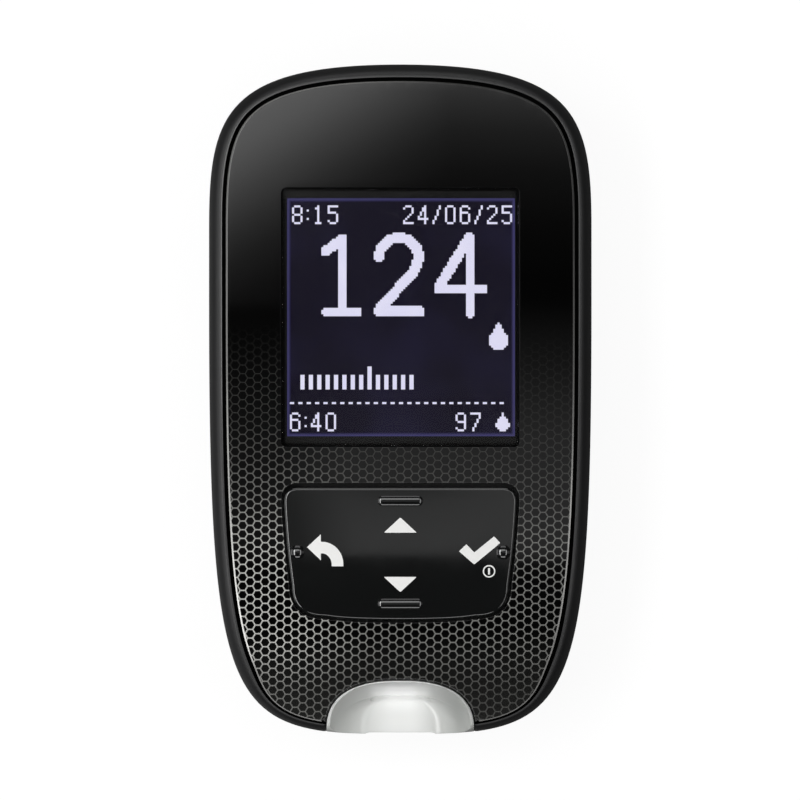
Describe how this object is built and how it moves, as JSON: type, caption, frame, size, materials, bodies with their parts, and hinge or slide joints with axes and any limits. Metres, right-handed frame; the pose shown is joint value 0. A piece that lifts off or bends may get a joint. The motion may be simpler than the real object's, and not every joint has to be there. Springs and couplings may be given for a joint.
{
  "type": "blood glucose meter",
  "caption": "Pocket blood glucose meter with a display window, a rocking key pad, a white test strip port, a strip ejector button and a battery door in the back.",
  "frame": {"origin": "on the surface the meter lies on, under the middle of its box", "axes": "+Z out of the display, +Y towards the display end, +X to the right of the display"},
  "size_m": [0.0464, 0.0812, 0.0204],
  "materials": {
    "case_plastic": "satin moulded",
    "plate_gloss": "gloss, printed from behind",
    "key_gloss": "gloss moulded",
    "window_clear": "clear gloss",
    "port_white": "translucent satin",
    "display_dark": "dark gloss",
    "white_film": "matt",
    "frame_white": "moulded",
    "silicone": "matt",
    "board_green": "solder mask",
    "chip_black": "matt",
    "film_amber": "film",
    "led_white": "gloss",
    "lever_white": "moulded",
    "steel": "bright",
    "screw_zinc": "zinc plated",
    "contact_gold": "gold plated",
    "cell_steel": "nickel plated"
  },
  "bodies": {
    "case": {"rear_cover": "case_plastic", "front_housing": "case_plastic", "front_plate": "plate_gloss", "display_lens": "window_clear", "display_glass": "display_dark", "display_backlight": "white_film", "display_holder": "frame_white", "display_ribbon": "film_amber", "ribbon_socket": "chip_black", "key_mat": "silicone", "snap_dome_1": "steel", "snap_dome_2": "steel", "snap_dome_3": "steel", "snap_dome_4": "steel", "strip_port": "port_white", "strip_connector": "chip_black", "strip_contact_1": "contact_gold", "strip_contact_2": "contact_gold", "strip_contact_3": "contact_gold", "strip_contact_4": "contact_gold", "strip_contact_5": "contact_gold", "port_light_1": "led_white", "port_light_2": "led_white", "circuit_board": "board_green", "processor": "chip_black", "radio_module": "steel", "memory_chip": "chip_black", "clock_crystal": "steel", "beeper": "chip_black", "usb_shell": "steel", "usb_tongue": "chip_black", "battery_cell_1": "cell_steel", "battery_cell_2": "cell_steel", "negative_contact_1": "steel", "negative_contact_2": "steel", "positive_contact_1": "steel", "positive_contact_2": "steel", "case_screw_1": "screw_zinc", "case_screw_2": "screw_zinc", "case_screw_3": "screw_zinc", "case_screw_4": "screw_zinc", "ejector_spring": "steel"},
    "key_ball": {"key_pivot": "frame_white"},
    "key_pad": {"key_cap": "key_gloss"},
    "ejector_button": {"ejector_button": "case_plastic"},
    "ejector_pusher": {"ejector_pusher": "lever_white"},
    "battery_door": {"battery_door": "case_plastic"}
  },
  "joints": [
    {"name": "key_up_down", "type": "hinge", "parent": "case", "child": "key_ball", "pos_m": [0, -0.01865, 0.014], "axis": [1, 0, 0], "range_deg": [-2.1, 2.1], "stiffness_Nm_per_rad": 0.01},
    {"name": "key_back_enter", "type": "hinge", "parent": "key_ball", "child": "key_pad", "pos_m": [0, -0.01865, 0.014], "axis": [0, 1, 0], "range_deg": [-1.1, 1.1], "stiffness_Nm_per_rad": 0.02},
    {"name": "ejector_press", "type": "slide", "parent": "case", "child": "ejector_button", "axis": [1, 0, 0], "range_m": [0, 0.0018], "stiffness_N_per_m": 120, "deforming": ["ejector_spring"]},
    {"name": "ejector_push", "type": "slide", "parent": "case", "child": "ejector_pusher", "axis": [0, -1, 0], "range_m": [0, 0.0027], "deforming": ["ejector_spring"]},
    {"name": "door_tilt", "type": "hinge", "parent": "case", "child": "battery_door", "pos_m": [0, 0.03145, 0.00015], "axis": [1, 0, 0], "range_deg": [0, 25]}
  ],
  "couplings": [
    {"joint": "ejector_push", "follows": "ejector_press", "ratio": 1.5}
  ]
}
